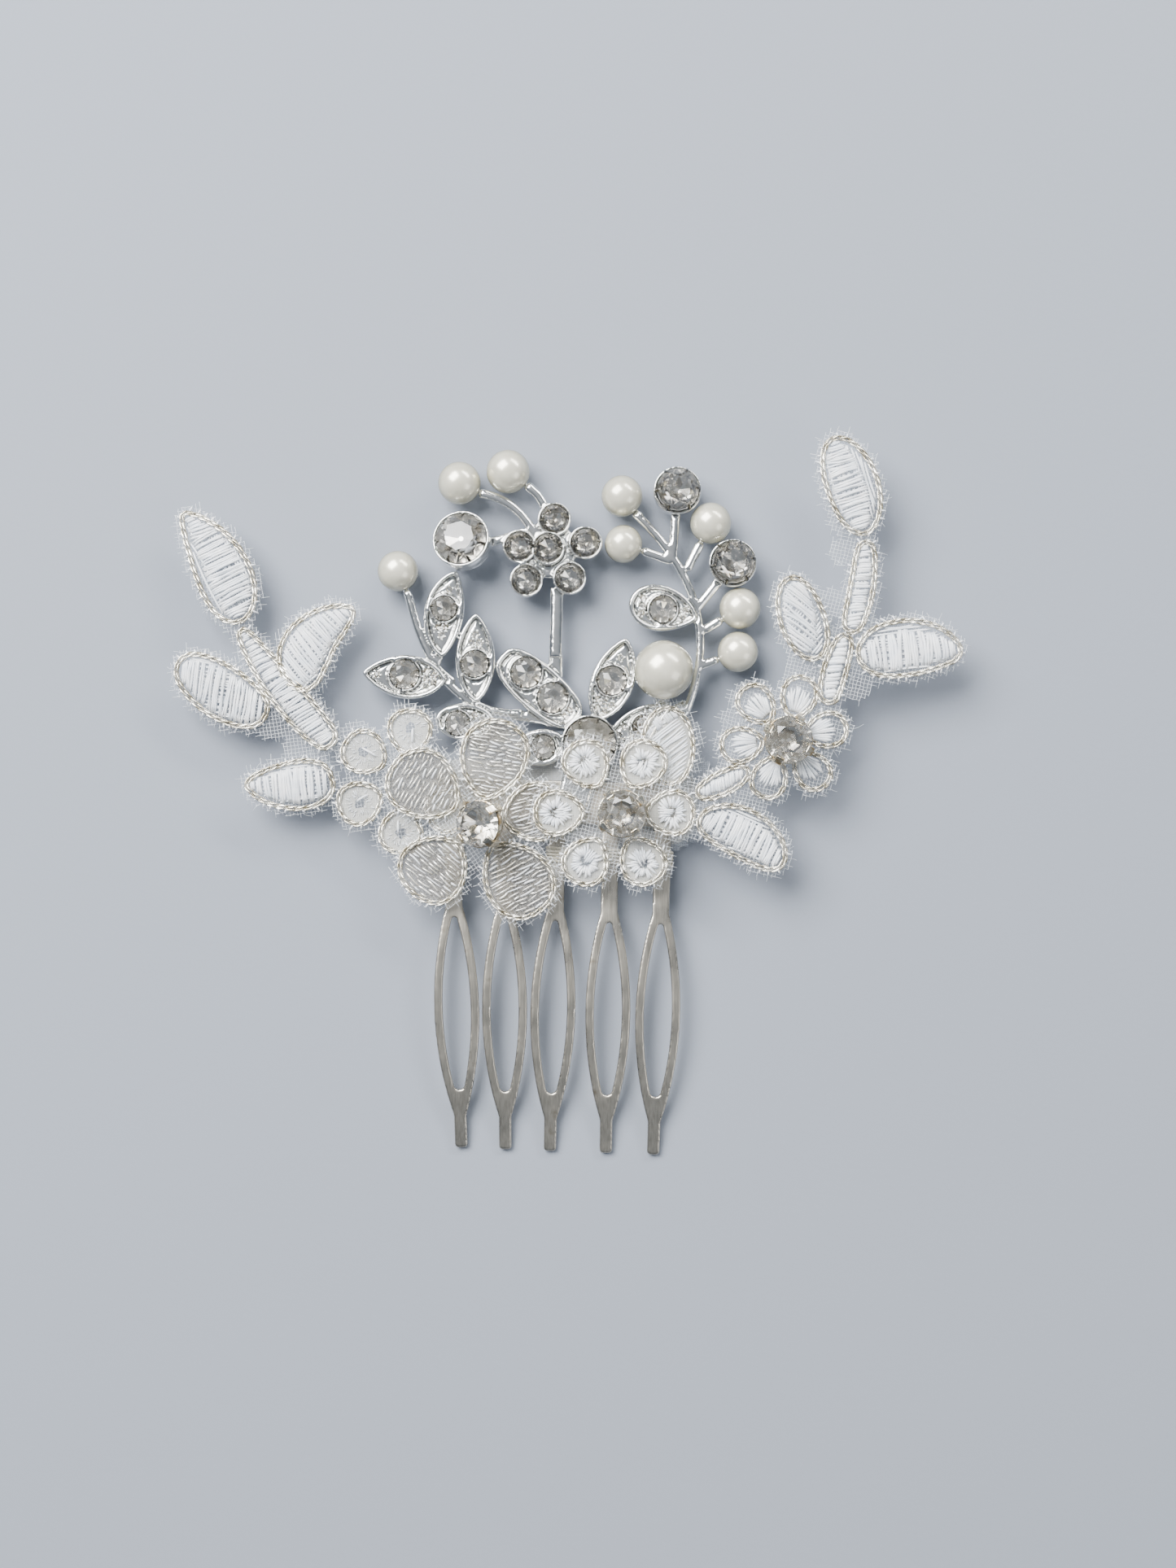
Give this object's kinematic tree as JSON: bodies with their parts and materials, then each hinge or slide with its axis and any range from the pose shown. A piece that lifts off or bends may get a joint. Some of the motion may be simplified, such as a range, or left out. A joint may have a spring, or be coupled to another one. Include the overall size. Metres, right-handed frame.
{
  "type": "hair comb",
  "caption": "Decorative bridal hair comb: narrow-toothed metal comb carrying corded lace flowers and leaves, a cast spray of pearls and clear set stones.",
  "frame": {"origin": "centre of the felt pad's flat back face, behind the comb's spine", "axes": "+X along the spine to the right, +Y away from the teeth, +Z out of the decorated face"},
  "size_m": [0.1109, 0.1011, 0.0115],
  "materials": {
    "comb_metal": "dull satin nickel plate, softly worn",
    "cast_metal": "bright rhodium-look plate over a cast core",
    "claw_metal": "silver-plated brass with yellow tarnish in the corners",
    "pearl": "ivory pearl lacquer with a soft satin gloss",
    "stone": "clear cut stone over a silver foil back",
    "felt": "pressed felt",
    "organza": "sheer organza",
    "thread": "twisted sewing thread",
    "net": "fine tulle net",
    "cord": "twisted silver and ivory edging cord",
    "satin": "dense white satin stitches"
  },
  "bodies": {
    "root": {"comb": "comb_metal", "felt_pad": "felt", "organza_backing": "organza", "binding_thread": "thread", "leaf_cluster": "cast_metal", "left_branch": "cast_metal", "right_branch": "cast_metal", "flower_head": "cast_metal", "big_pearl": "pearl", "left_tip_pearl": "pearl", "top_left_pearl": "pearl", "top_middle_pearl": "pearl", "right_tip_pearl": "pearl", "inner_pearl": "pearl", "upper_row_pearl": "pearl", "middle_row_pearl": "pearl", "lower_row_pearl": "pearl", "upper_row_stone": "stone", "lower_row_stone": "stone", "leaning_stone": "stone", "foot_stone": "stone", "flower_stones": "stone", "leaf_stones": "stone", "pave_stones": "stone", "big_flower_claws": "claw_metal", "big_flower_stone": "stone", "centre_flower_claws": "claw_metal", "centre_flower_stone": "stone", "right_flower_claws": "claw_metal", "right_flower_stone": "stone", "left_spray_net": "net", "left_spray_cord": "cord", "left_spray_satin": "satin", "big_flower_net": "net", "big_flower_cord": "cord", "big_flower_satin": "satin", "upper_leaf_net": "net", "upper_leaf_cord": "cord", "upper_leaf_satin": "satin", "right_spray_net": "net", "right_spray_cord": "cord", "right_spray_satin": "satin"}
  },
  "joints": []
}
